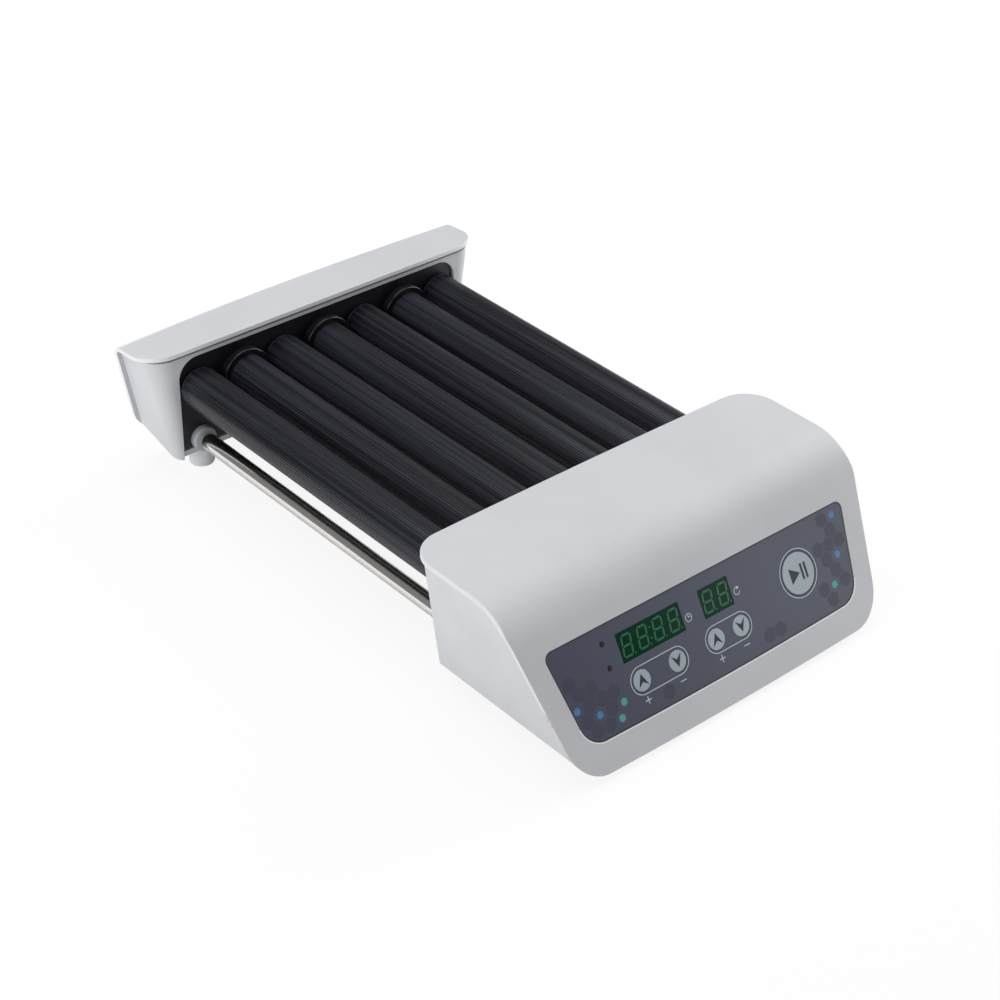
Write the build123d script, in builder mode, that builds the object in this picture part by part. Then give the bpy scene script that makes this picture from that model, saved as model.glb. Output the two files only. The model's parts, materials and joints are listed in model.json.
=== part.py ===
from build123d import *
import os
from math import cos, radians, sin, tan

os.makedirs("parts", exist_ok=True)

# All lengths in millimetres, all angles in degrees.
# X runs along the control face, Y from the control end to the far end, Z up.

# Rollers
roller_count = 7
roller_pitch = 35.0
roller_dia = 29.5
rib_count = 56
rib_depth = 0.4
rib_crest = 0.62
tube_wall = 2.2
axis_height = 70.0
tube_far_y = 184.1
tube_near_y = -98.5
flange_dia = 28.9
flange_t = 1.2
plug_depth = 14.0
plug_fit = 0.05
hub_dia = 14.0
hub_gap = 0.2
axle_dia = 8.0
axle_fit = 0.05
stop_dia = 38.0
stop_width = 6.5
stop_bevel = 0.8

# Belt drums on the near ends of the axles
drum_dia = 16.0
drum_rim_dia = 19.2
drum_rim_t = 1.0
belt_width = 5.0
belt_side_gap = 0.5
belt_t = 1.3
belt_gap = 0.3
drum_start_gap = 1.0

# Housing cross-section, shared by both ends
half_width = 145.1
side_lean = 0.2
lean_drop = 12.5
low_corner_r = 26.0
wall_t = 2.5
cover_t = 3.0
edge_r = 1.2

# Control end
hood_top = 103.8
lean_start_z = hood_top - lean_drop
hood_edge_y = -87.4
hood_edge_bow = 0.7
hood_corner_r = 24.0
knee_r = 42.0
face_slope = 59.44
face_ref_y = -183.92
face_ref_z = hood_top - 17.95
face_low_z = 3.6
face_low_bow = 1.5
control_inset = 7.6
control_lean = 0.15
control_base_z = 14.0
control_rear_y = -96.2
control_rear_r = 3.0

# Far end
cap_top = hood_top - 2.2
cap_fall = 3.5
cap_edge_y = 184.5
cap_edge_r = 22.0
cap_outer_y = 232.5
cap_outer_bow = 4.6
cap_bend_r = 5.0
cap_low_z = 29.0
cap_inset = 5.0
cap_lean = 0.19
cap_base_z = 17.0
cap_base_rise = 16.0
cap_inner_y = 185.3
cap_inner_top_r = 16.0
cap_inner_low_r = 7.0
cap_core_low_r = 3.0

# End plates and the openings they close
near_frame_depth = 6.0
far_frame_depth = 2.5
opening_half = 120.5
opening_top = hood_top - 9.6
opening_r = 15.0
plate_top = opening_top + 0.9
plate_low = 19.5
plate_half = 121.0
plate_edge_r = 3.0
plate_corner_r = 8.0
plate_t = 5.0
pin_dia = 2.4
pin_h = 1.2
pin_z = 90.0

# Tie rods
rod_dia = 12.0
rod_x = 104.0
rod_z = 28.0
bush_dia = 18.0
bush_len = 5.6
bush_bevel = 1.0
bush_fit = 0.05

# Base plates and feet
base_t = 2.5
ledge_t = 1.5
ledge_w = 5.0
base_gap = 0.3
foot_dia = 18.0
foot_bevel = 1.5
foot_x = 98.0
foot_far_y = 199.0
foot_near_y = -120.0
foot_front_x = 92.0
foot_front_y = -203.0
vent_count = 7
vent_pitch = 9.0
vent_len = 46.0
vent_w = 3.0
vent_y = -160.0

# Panel on the sloping face, u across and v up the slope from the face reference line
panel_top_v = -12.3
panel_low_v = -76.7
panel_low_bow = 1.6
panel_half_top = 126.0
panel_half_low = 115.0
panel_top_r = 5.0
panel_low_r = 16.0
pocket_depth = 1.2
panel_t = 0.8
panel_gap = 0.35

time_u = -47.6
time_w = 51.3
rpm_u = 6.9
rpm_w = 25.2
display_v = -30.6
display_h = 18.5
display_gap = 0.15
display_sink = 0.15

led_u = -83.8
led_high_v = -22.9
led_low_v = -38.1
led_dia = 3.0
led_gap = 0.3

key_v = -54.0
key_dia = 13.2
time_up_u = -64.4
time_down_u = -35.4
rpm_up_u = -2.4
rpm_down_u = 18.9
start_u = 75.0
start_v = -42.1
start_dia = 26.6
key_gap = 0.3
key_proud = 0.15
key_collar_w = 1.6
key_collar_t = 1.0
key_stem_dia = 5.0
key_travel = 0.5
key_slack = 0.1

board_depth = 11.0
board_t = 1.6
board_half_u = 104.0
board_top_v = -16.0
board_low_v = -70.0
board_post_dia = 7.0
board_post_u = 97.0
dome_t = 1.6
dome_dia = 7.0

# Geared motor
motor_z = 38.0
gearbox_dia = 36.0
gearbox_len = 24.0
motor_dia = 33.0
motor_len = 30.0
motor_boss_dia = 12.0
motor_shaft_dia = 6.0
bracket_t = 3.0
bracket_half = 27.0
bracket_top = 55.0
bracket_foot = 18.0
motor_gap = 1.5

# Power inlet and rocker switch on the right side wall
side_part_z = 42.0
inlet_y = -134.0
inlet_dia = 12.0
inlet_bezel_dia = 15.0
inlet_bezel_t = 1.5
inlet_depth = 14.0
inlet_bore_dia = 6.4
inlet_pin_dia = 2.0
switch_y = -164.0
switch_len = 21.0
switch_w = 15.0
switch_bezel_t = 1.6
switch_body_len = 18.6
switch_body_w = 12.8
switch_depth = 15.0
rocker_len = 14.4
rocker_w = 9.4
rocker_gap = 0.4
rocker_rise = 2.2
rocker_tip = 0.6
rocker_pin_dia = 2.4
rocker_pin_fit = 0.08
rocker_sink = 3.0
rocker_end_gap = 0.9
rocker_tilt = 7.0
cut_fit = 0.1

# Derived places
roller_xs = [(i - (roller_count - 1) / 2) * roller_pitch for i in range(roller_count)]
far_plate_y = cap_inner_y + far_frame_depth
near_plate_y = control_rear_y - near_frame_depth
near_plate_back = near_plate_y - plate_t
far_plate_back = far_plate_y + plate_t
flange_far_y = tube_far_y + flange_t
flange_near_y = tube_near_y - flange_t
drum_start = near_plate_back - drum_start_gap
belt_pitch = belt_width + 2 * belt_side_gap + drum_rim_t
rim_ys = [drum_start - drum_rim_t - i * belt_pitch for i in range(4)]
belt_ys = [rim_ys[i] - belt_side_gap for i in range(3)]
slope = radians(face_slope)
knee_y = face_ref_y + (hood_top - face_ref_z) / tan(slope)
knee_in = cover_t * tan(slope / 2)
led_vs = (led_high_v, led_low_v)
small_key_us = (time_up_u, time_down_u, rpm_up_u, rpm_down_u)
key_places = [
    ("key_time_up", time_up_u, key_v, key_dia),
    ("key_time_down", time_down_u, key_v, key_dia),
    ("key_rpm_up", rpm_up_u, key_v, key_dia),
    ("key_rpm_down", rpm_down_u, key_v, key_dia),
    ("key_start", start_u, start_v, start_dia),
]
stop_rollers = range(1, roller_count, 2)
pin_xs = [roller_xs[i] for i in stop_rollers]
foot_places = [
    ("foot_far_left", -foot_x, foot_far_y, cap_top),
    ("foot_far_right", foot_x, foot_far_y, cap_top),
    ("foot_near_left", -foot_x, foot_near_y, control_base_z),
    ("foot_near_right", foot_x, foot_near_y, control_base_z),
    ("foot_front_left", -foot_front_x, foot_front_y, control_base_z),
    ("foot_front_right", foot_front_x, foot_front_y, control_base_z),
]
face_plane = Plane(
    origin=(0, face_ref_y, face_ref_z), x_dir=(1, 0, 0), z_dir=(0, -sin(slope), cos(slope))
)


def half_at(z):
    """Half width of the cover outline at height z."""
    return half_width - side_lean * max(0.0, lean_start_z - z)


def face_y(z, depth):
    """Y of the sloping face at height z, a given depth below its outer surface."""
    return face_ref_y + (z - face_ref_z) / tan(slope) + depth / sin(slope)


def wall_half(z, inset, lean):
    """Half width between the outer faces of a pair of side walls at height z."""
    return half_width - inset - lean * max(0.0, lean_start_z - z)


def wall_prism(inset, lean, low_z, top_z, start_y, end_y):
    """Prism along Y between leaning side walls, from start_y to end_y."""
    low = wall_half(low_z, inset, lean)
    high = wall_half(lean_start_z, inset, lean)
    with BuildPart() as prism:
        with BuildSketch(Plane.XZ.offset(-start_y)):
            with BuildLine():
                Polyline((low, low_z), (high, lean_start_z), (high, top_z), (-high, top_z),
                         (-high, lean_start_z), (-low, low_z), close=True)
            make_face()
        extrude(amount=-(end_y - start_y))
    return prism.part


def corner_prism(inset, low_r, top_r, low_z, top_z, start_y, end_y):
    """Block between the leaning walls of the far end, inner upright corners wider at the top."""
    sections = ((low_z, low_r), (lean_start_z, top_r), (top_z, top_r))
    with BuildPart() as block:
        for z, corner_r in sections:
            with BuildSketch(Plane.XY.offset(z)) as section:
                half = wall_half(z, inset, cap_lean)
                with Locations((0, (start_y + end_y) / 2)):
                    Rectangle(2 * half, end_y - start_y)
                fillet(section.vertices().group_by(Axis.Y)[0], corner_r)
        loft(ruled=True)
    return block.part


def front_prism(low_z, low_bow, start_y, end_y):
    """Prism along Y with the full cover outline, low corners rounded and low edge bowed."""
    with BuildPart() as prism:
        with BuildSketch(Plane.XZ.offset(-start_y)):
            with BuildLine():
                side = half_at(low_z)
                Polyline(
                    (-side, low_z + low_bow),
                    (-half_width, lean_start_z),
                    (-half_width, hood_top + cover_t),
                    (half_width, hood_top + cover_t),
                    (half_width, lean_start_z),
                    (side, low_z + low_bow),
                )
                ThreePointArc((side, low_z + low_bow), (0, low_z), (-side, low_z + low_bow))
            make_face()
        extrude(amount=-(end_y - start_y))
        low_edges = prism.edges().filter_by(Axis.Y).group_by(Axis.Z)[0]
        fillet(low_edges, low_corner_r)
    return prism.part


def plan_prism(back_y, back_bow, front_y, front_bow, back_r, front_r, low_z, top_z):
    """Prism along Z with bowed ends and rounded upright corners."""
    with BuildPart() as prism:
        with BuildSketch(Plane.XY.offset(low_z)):
            with BuildLine():
                Line((-half_width, back_y - back_bow), (-half_width, front_y + front_bow))
                if front_bow:
                    ThreePointArc((-half_width, front_y + front_bow), (0, front_y),
                                  (half_width, front_y + front_bow))
                else:
                    Line((-half_width, front_y), (half_width, front_y))
                Line((half_width, front_y + front_bow), (half_width, back_y - back_bow))
                ThreePointArc((half_width, back_y - back_bow), (0, back_y),
                              (-half_width, back_y - back_bow))
            make_face()
        extrude(amount=top_z - low_z)
        if back_r:
            fillet(prism.edges().filter_by(Axis.Z).group_by(Axis.Y)[-1], back_r)
        if front_r:
            fillet(prism.edges().filter_by(Axis.Z).group_by(Axis.Y)[0], front_r)
    return prism.part


def upright_plate(half, top_z, low_z, corner_r, start_y, end_y):
    """Plate standing in XZ between two Y values, top corners rounded."""
    with BuildPart() as plate:
        with BuildSketch(Plane.XZ.offset(-start_y)) as face:
            with BuildLine():
                Polyline((half, low_z), (half, top_z), (-half, top_z), (-half, low_z), close=True)
            make_face()
            fillet(face.vertices().group_by(Axis.Y)[-1], corner_r)
        extrude(amount=-(end_y - start_y))
    return plate.part


def rod_along_y(dia, start_y, end_y, x, z):
    """Cylinder along Y between two Y values."""
    with BuildPart() as rod:
        with BuildSketch(Plane.XZ.offset(-start_y)):
            with Locations((x, z)):
                Circle(dia / 2)
        extrude(amount=-(end_y - start_y))
    return rod.part


def panel_shape(grow):
    """Panel outline as a flat face, u and v as its own X and Y, grown outward all round."""
    with BuildSketch() as outline:
        with BuildLine():
            Polyline(
                (-panel_half_low - grow, panel_low_v + panel_low_bow - grow),
                (-panel_half_top - grow, panel_top_v + grow),
                (panel_half_top + grow, panel_top_v + grow),
                (panel_half_low + grow, panel_low_v + panel_low_bow - grow),
            )
            ThreePointArc(
                (panel_half_low + grow, panel_low_v + panel_low_bow - grow),
                (0, panel_low_v - grow),
                (-panel_half_low - grow, panel_low_v + panel_low_bow - grow),
            )
        make_face()
        fillet(outline.vertices().group_by(Axis.Y)[-1], panel_top_r + grow)
        fillet(outline.vertices().group_by(Axis.Y)[0], panel_low_r + grow)
    return outline.sketch


def side_plane(y):
    """Plane on the outer surface of the right side wall, x up the wall, y along the object."""
    x = wall_half(side_part_z, control_inset, control_lean)
    return Plane(origin=(x, y, side_part_z), x_dir=(control_lean, 0, 1),
                 z_dir=(1, 0, -control_lean))


def roof_z(y):
    """Height of the far cover's sloping top at y."""
    return cap_top - cap_fall * (y - cap_edge_y) / (cap_outer_y - cap_edge_y)


def under_z(y):
    """Height of the far end's sloping underside at y."""
    return cap_base_z + cap_base_rise * (y - far_plate_y) / (cap_outer_y - far_plate_y)


def cap_block(depth, reach, front_y, low_z):
    """Space under the far cover's roof and behind its bowed outer side, a given depth inside."""
    back_y = cap_outer_y - depth
    with BuildPart() as block:
        with BuildSketch(Plane.XY.offset(low_z)):
            with BuildLine():
                Polyline((reach, back_y - cap_outer_bow), (reach, front_y), (-reach, front_y),
                         (-reach, back_y - cap_outer_bow))
                ThreePointArc((-reach, back_y - cap_outer_bow), (0, back_y),
                              (reach, back_y - cap_outer_bow))
            make_face()
        extrude(amount=hood_top + cover_t - low_z)
        with BuildSketch(Plane.YZ):
            with BuildLine():
                start_y = front_y - cover_t
                end_y = back_y + cover_t
                Polyline((start_y, roof_z(start_y) - depth), (end_y, roof_z(end_y) - depth),
                         (end_y, hood_top + 2 * cover_t), (start_y, hood_top + 2 * cover_t),
                         close=True)
            make_face()
        extrude(amount=reach + cover_t, both=True, mode=Mode.SUBTRACT)
        fillet(block.faces().sort_by(Axis.Z)[-1].edges().sort_by(Axis.Y)[-1],
               cap_bend_r - depth)
    return block.part


def cap_slab(low_lift, high_lift):
    """Slab along the far end's sloping underside, between two heights above it."""
    with BuildPart() as slab:
        with BuildSketch(Plane.YZ):
            with BuildLine():
                start_y = cap_inner_y - 2 * cover_t
                end_y = cap_outer_y + cover_t
                Polyline((start_y, under_z(start_y) + low_lift), (end_y, under_z(end_y) + low_lift),
                         (end_y, under_z(end_y) + high_lift),
                         (start_y, under_z(start_y) + high_lift), close=True)
            make_face()
        extrude(amount=half_width + cover_t, both=True)
    return slab.part


def rib_points(x):
    """Corner points of the ribbed section of the roller at x."""
    crest = roller_dia / 2
    valley = crest - rib_depth
    points = []
    for k in range(rib_count):
        start = radians(k * 360.0 / rib_count)
        turn = radians(360.0 / rib_count)
        end = start + rib_crest * turn
        mid = start + (1 + rib_crest) / 2 * turn
        points.append((x + crest * cos(start), axis_height + crest * sin(start)))
        points.append((x + crest * cos(end), axis_height + crest * sin(end)))
        points.append((x + valley * cos(mid), axis_height + valley * sin(mid)))
    return points


# Hood and sloping face of the control end, one bent shell
low_strip_z = face_low_z - cover_t
prism_front_y = face_y(low_strip_z, 0) - cover_t
pocket_shape = panel_shape(panel_gap)
with BuildPart() as control_cover:
    with BuildSketch(Plane.YZ) as strip:
        with BuildLine():
            Polyline(
                (hood_edge_y + cover_t, hood_top),
                (knee_y, hood_top),
                (face_y(low_strip_z, 0), low_strip_z),
                (face_y(low_strip_z, cover_t), low_strip_z),
                (knee_y + knee_in, hood_top - cover_t),
                (hood_edge_y + cover_t, hood_top - cover_t),
                close=True,
            )
        make_face()
        fillet(strip.vertices().sort_by_distance((knee_y, hood_top))[0], knee_r)
        fillet(
            strip.vertices().sort_by_distance((knee_y + knee_in, hood_top - cover_t))[0],
            knee_r - cover_t,
        )
    extrude(amount=half_width + cover_t, both=True)
    add(plan_prism(hood_edge_y + hood_edge_bow, 2 * hood_edge_bow, prism_front_y, 0,
                   hood_corner_r, 0, low_strip_z, hood_top + cover_t), mode=Mode.INTERSECT)
    add(front_prism(face_low_z, face_low_bow, prism_front_y, hood_edge_y + cover_t),
        mode=Mode.INTERSECT)
    fillet(control_cover.faces().sort_by(Axis.Z)[-1].outer_wire().edges(), edge_r)
    with BuildSketch(face_plane):
        add(pocket_shape)
    extrude(amount=-pocket_depth, mode=Mode.SUBTRACT)
    with BuildSketch(face_plane):
        with Locations((time_u, display_v)):
            Rectangle(time_w + 2 * panel_gap, display_h + 2 * panel_gap)
        with Locations((rpm_u, display_v)):
            Rectangle(rpm_w + 2 * panel_gap, display_h + 2 * panel_gap)
        with Locations(*[(led_u, v) for v in led_vs]):
            Circle(led_dia / 2 + led_gap)
        with Locations(*[(u, key_v) for u in small_key_us]):
            Circle(key_dia / 2 + key_gap)
        with Locations((start_u, start_v)):
            Circle(start_dia / 2 + key_gap)
    extrude(amount=-(cover_t + pocket_depth), mode=Mode.SUBTRACT)
control_cover.part.label = "control_cover"
export_step(control_cover.part, "parts/control_cover.step")

# Side walls, opening frame and base ledge under the hood
control_floor_y = face_y(control_base_z, cover_t)
wall_top = hood_top - cover_t
cavity_front_y = prism_front_y
control_low_half = wall_half(control_base_z, control_inset, control_lean)
with BuildPart() as control_body:
    add(wall_prism(control_inset, control_lean, control_base_z, wall_top, cavity_front_y,
                   control_rear_y))
    with BuildSketch(Plane.YZ) as under:
        with BuildLine():
            Polyline(
                (control_rear_y, control_base_z),
                (control_rear_y, wall_top),
                (knee_y + knee_in, wall_top),
                (control_floor_y, control_base_z),
                close=True,
            )
        make_face()
        fillet(under.vertices().sort_by_distance((knee_y + knee_in, wall_top))[0], knee_r - cover_t)
    extrude(amount=half_width, both=True, mode=Mode.INTERSECT)
    fillet(control_body.faces().sort_by(Axis.Y)[-1].edges().filter_by(Axis.Y, reverse=True)
           .filter_by(Axis.X, reverse=True), control_rear_r)
    floor_top_z = control_base_z + base_t + ledge_t
    add(wall_prism(control_inset + wall_t, control_lean, floor_top_z, wall_top + cover_t,
                   cavity_front_y, near_plate_y), mode=Mode.SUBTRACT)
    with BuildSketch(Plane.XY.offset(control_base_z)):
        with Locations((0, (control_floor_y + near_plate_y) / 2)):
            Rectangle(2 * (control_low_half - wall_t - ledge_w),
                      near_plate_y - control_floor_y - 2 * ledge_w)
    extrude(amount=floor_top_z - control_base_z, mode=Mode.SUBTRACT)
    with BuildSketch(Plane.XY.offset(control_base_z)):
        with Locations((0, (control_floor_y + near_plate_y) / 2)):
            Rectangle(2 * (control_low_half - wall_t),
                      near_plate_y - control_floor_y - 2 * wall_t)
    extrude(amount=base_t, mode=Mode.SUBTRACT)
    add(upright_plate(opening_half, opening_top, plate_low, opening_r,
                      near_plate_y - plate_t, control_rear_y + plate_t), mode=Mode.SUBTRACT)
    with BuildSketch(side_plane(inlet_y)):
        Circle(inlet_dia / 2 + cut_fit)
    extrude(amount=-(2 * wall_t), both=True, mode=Mode.SUBTRACT)
    with BuildSketch(side_plane(switch_y)):
        Rectangle(switch_body_w + 2 * cut_fit, switch_body_len + 2 * cut_fit)
    extrude(amount=-(2 * wall_t), both=True, mode=Mode.SUBTRACT)
control_body.part.label = "control_body"
export_step(control_body.part, "parts/control_body.step")

# Base plate of the control end with cooling slots
with BuildPart() as control_base:
    with BuildSketch(Plane.XY.offset(control_base_z)):
        with Locations((0, (control_floor_y + near_plate_y) / 2)):
            Rectangle(2 * (control_low_half - wall_t - base_gap),
                      near_plate_y - control_floor_y - 2 * (wall_t + base_gap))
        with Locations((0, vent_y)):
            with GridLocations(vent_pitch, 1, vent_count, 1):
                SlotOverall(vent_len, vent_w, rotation=90, mode=Mode.SUBTRACT)
    extrude(amount=base_t)
control_base.part.label = "control_base"
export_step(control_base.part, "parts/control_base.step")

# Cover of the far end: sloping top with an inner flange, bent down over the outer side
with BuildPart() as cap_cover:
    add(cap_block(0, half_width, cap_edge_y, cap_low_z))
    fillet(cap_cover.edges().filter_by(Axis.Z).group_by(Axis.Y)[0], cap_edge_r)
    roof = cap_cover.faces().sort_by(Axis.Z)[-1]
    fillet(roof.edges().sort_by(Axis.Y)[0], edge_r)
    add(front_prism(cap_low_z, face_low_bow, cap_edge_y - cover_t, cap_outer_y + cover_t),
        mode=Mode.INTERSECT)
    add(cap_block(cover_t, half_width + cover_t, cap_edge_y - cover_t, cap_low_z - cover_t),
        mode=Mode.SUBTRACT)
cap_cover.part.label = "cap_cover"
export_step(cap_cover.part, "parts/cap_cover.step")

# Side walls, opening frame and base ledge of the far end
cap_back_y = cap_outer_y - cap_outer_bow - cover_t
cap_low_half = wall_half(cap_base_z, cap_inset, cap_lean)
cap_floor_lift = base_t + ledge_t
cap_wall_low = cap_base_z - base_t
with BuildPart() as cap_body:
    add(corner_prism(cap_inset, cap_inner_low_r, cap_inner_top_r, cap_wall_low, cap_top,
                     cap_inner_y, cap_outer_y))
    add(cap_block(cover_t, half_width, cap_inner_y - cover_t, cap_wall_low - cover_t),
        mode=Mode.INTERSECT)
    add(cap_slab(-cap_top, 0), mode=Mode.SUBTRACT)
    with BuildPart(mode=Mode.PRIVATE) as cavity:
        add(corner_prism(cap_inset + wall_t, cap_core_low_r, cap_inner_top_r - wall_t,
                         cap_wall_low, cap_top, far_plate_y, cap_outer_y + cover_t))
        add(cap_slab(-cap_top, cap_floor_lift), mode=Mode.SUBTRACT)
    add(cavity.part, mode=Mode.SUBTRACT)
    with BuildSketch(Plane.XY):
        with Locations((0, (far_plate_y + cap_back_y) / 2)):
            Rectangle(2 * (cap_low_half - wall_t - ledge_w),
                      cap_back_y - far_plate_y - 2 * ledge_w)
    extrude(amount=under_z(cap_outer_y) + cap_floor_lift, mode=Mode.SUBTRACT)
    with BuildPart(mode=Mode.PRIVATE) as base_pocket:
        add(cap_slab(-base_t, base_t))
        with BuildSketch(Plane.XY):
            with Locations((0, (far_plate_y + cap_back_y) / 2)):
                Rectangle(2 * (cap_low_half - wall_t), cap_back_y - far_plate_y - 2 * wall_t)
        extrude(amount=cap_top, mode=Mode.INTERSECT)
    add(base_pocket.part, mode=Mode.SUBTRACT)
    add(upright_plate(opening_half, opening_top, cap_wall_low - wall_t, opening_r,
                      cap_inner_y - plate_t, far_plate_y + base_gap), mode=Mode.SUBTRACT)
cap_body.part.label = "cap_body"
export_step(cap_body.part, "parts/cap_body.step")

# Base plate of the far end
with BuildPart() as cap_base:
    add(cap_slab(0, base_t))
    with BuildSketch(Plane.XY):
        with Locations((0, (far_plate_y + cap_back_y) / 2)):
            Rectangle(2 * (cap_low_half - wall_t - base_gap),
                      cap_back_y - far_plate_y - 2 * (wall_t + base_gap))
    extrude(amount=cap_top, mode=Mode.INTERSECT)
cap_base.part.label = "cap_base"
export_step(cap_base.part, "parts/cap_base.step")

# Bearing plates that carry the rollers and the tie rods
far_plate_low = under_z(far_plate_back) + cap_floor_lift + base_gap
for plate_name, start_y, low_z in (("near_plate", near_plate_back, plate_low),
                                   ("far_plate", far_plate_y, far_plate_low)):
    with BuildPart() as plate:
        add(upright_plate(plate_half, plate_top, low_z, plate_corner_r, start_y,
                          start_y + plate_t))
        fillet(plate.edges().filter_by(Axis.Z), plate_edge_r / 2)
        with BuildSketch(Plane.XZ.offset(-start_y)):
            with Locations(*[(x, axis_height) for x in roller_xs]):
                Circle(axle_dia / 2 + axle_fit)
        extrude(amount=-plate_t, mode=Mode.SUBTRACT)
        if plate_name == "far_plate":
            with BuildSketch(Plane.XZ.offset(-start_y)):
                with Locations(*[(x, pin_z) for x in pin_xs]):
                    Circle(pin_dia / 2)
            extrude(amount=pin_h)
    plate.part.label = plate_name
    export_step(plate.part, "parts/" + plate_name + ".step")

# Rollers: ribbed tube and turned axle with its end plugs
for i, x in enumerate(roller_xs):
    name = "roller_" + str(i + 1)
    with BuildPart() as tube:
        with BuildSketch(Plane.XZ.offset(-tube_near_y)):
            with BuildLine():
                Polyline(*rib_points(x), close=True)
            make_face()
            with Locations((x, axis_height)):
                Circle(roller_dia / 2 - rib_depth - tube_wall, mode=Mode.SUBTRACT)
        extrude(amount=-(tube_far_y - tube_near_y))
    tube.part.label = name + "_tube"
    export_step(tube.part, "parts/" + name + "_tube.step")

    drum_end = rim_ys[3] if x == 0 else rim_ys[2]
    plug_dia = roller_dia - 2 * (rib_depth + tube_wall + plug_fit)
    steps = [
        (axle_dia, drum_end, far_plate_back),
        (plug_dia, tube_near_y - flange_t, tube_near_y + plug_depth),
        (plug_dia, tube_far_y - plug_depth, flange_far_y),
        (flange_dia, flange_near_y, tube_near_y),
        (flange_dia, tube_far_y, flange_far_y),
        (hub_dia, flange_far_y, far_plate_y - hub_gap),
        (hub_dia, near_plate_y + hub_gap, flange_near_y),
        (drum_dia, drum_end, drum_start),
    ]
    steps += [(drum_rim_dia, y, y + drum_rim_t) for y in rim_ys if y >= drum_end]
    with BuildPart() as axle:
        for dia, start_y, end_y in steps:
            add(rod_along_y(dia, start_y, end_y, x, axis_height))
    axle.part.label = name + "_axle"
    export_step(axle.part, "parts/" + name + "_axle.step")

    if i in stop_rollers:
        with BuildPart() as stop_ring:
            add(rod_along_y(stop_dia, tube_far_y - stop_width, tube_far_y, x, axis_height))
            fillet(stop_ring.edges(), stop_bevel)
            add(rod_along_y(roller_dia + 2 * plug_fit, tube_far_y - stop_width, tube_far_y, x,
                            axis_height), mode=Mode.SUBTRACT)
        stop_ring.part.label = "stop_ring_" + str(i + 1)
        export_step(stop_ring.part, "parts/" + stop_ring.part.label + ".step")

# Drive belts between neighbouring rollers, alternating between two drum tracks
for i in range(roller_count - 1):
    with BuildPart() as belt:
        with BuildSketch(Plane.XZ.offset(-belt_ys[i % 2])):
            with Locations(((roller_xs[i] + roller_xs[i + 1]) / 2, axis_height)):
                SlotCenterToCenter(roller_pitch, drum_dia + 2 * (belt_gap + belt_t))
                SlotCenterToCenter(roller_pitch, drum_dia + 2 * belt_gap, mode=Mode.SUBTRACT)
        extrude(amount=belt_width)
    belt.part.label = "belt_" + str(i + 1)
    export_step(belt.part, "parts/" + belt.part.label + ".step")

with BuildPart() as motor_belt:
    with BuildSketch(Plane.XZ.offset(-belt_ys[2])):
        with Locations((0, (axis_height + motor_z) / 2)):
            SlotCenterToCenter(axis_height - motor_z, drum_dia + 2 * (belt_gap + belt_t),
                               rotation=90)
            SlotCenterToCenter(axis_height - motor_z, drum_dia + 2 * belt_gap, rotation=90,
                               mode=Mode.SUBTRACT)
    extrude(amount=belt_width)
motor_belt.part.label = "motor_belt"
export_step(motor_belt.part, "parts/motor_belt.step")

# Motor drum with its shaft, geared motor and bracket
bracket_y = rim_ys[3] - motor_gap
gearbox_y = bracket_y - bracket_t
with BuildPart() as motor_drum:
    add(rod_along_y(drum_dia, rim_ys[3], rim_ys[2] + drum_rim_t, 0, motor_z))
    for y in rim_ys[2:]:
        add(rod_along_y(drum_rim_dia, y, y + drum_rim_t, 0, motor_z))
    add(rod_along_y(motor_shaft_dia, gearbox_y - bracket_t, rim_ys[3], 0, motor_z))
motor_drum.part.label = "motor_drum"
export_step(motor_drum.part, "parts/motor_drum.step")

with BuildPart() as gear_motor:
    add(rod_along_y(gearbox_dia, gearbox_y - gearbox_len, gearbox_y, 0, motor_z))
    add(rod_along_y(motor_dia, gearbox_y - gearbox_len - motor_len, gearbox_y - gearbox_len, 0,
                    motor_z))
    add(rod_along_y(motor_boss_dia, gearbox_y, gearbox_y + bracket_t, 0, motor_z))
    add(rod_along_y(motor_shaft_dia + 2 * axle_fit, gearbox_y - bracket_t, gearbox_y + bracket_t,
                    0, motor_z), mode=Mode.SUBTRACT)
gear_motor.part.label = "gear_motor"
export_step(gear_motor.part, "parts/gear_motor.step")

bracket_z = control_base_z + base_t
with BuildPart() as motor_bracket:
    with BuildSketch(Plane.YZ):
        with BuildLine():
            Polyline(
                (bracket_y, bracket_z),
                (bracket_y, bracket_top),
                (gearbox_y, bracket_top),
                (gearbox_y, bracket_z + bracket_t),
                (gearbox_y - motor_gap, bracket_z + bracket_t),
                (gearbox_y - motor_gap, bracket_z),
                close=True,
            )
        make_face()
    extrude(amount=bracket_half, both=True)
    with BuildSketch(Plane.XY.offset(bracket_z)):
        for side in (-1, 1):
            with Locations((side * (bracket_half - bracket_t), gearbox_y - bracket_foot / 2)):
                Rectangle(2 * bracket_t, bracket_foot)
    extrude(amount=bracket_t)
    add(rod_along_y(motor_boss_dia + 2 * plug_fit, gearbox_y, bracket_y, 0, motor_z),
        mode=Mode.SUBTRACT)
motor_bracket.part.label = "motor_bracket"
export_step(motor_bracket.part, "parts/motor_bracket.step")

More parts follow.
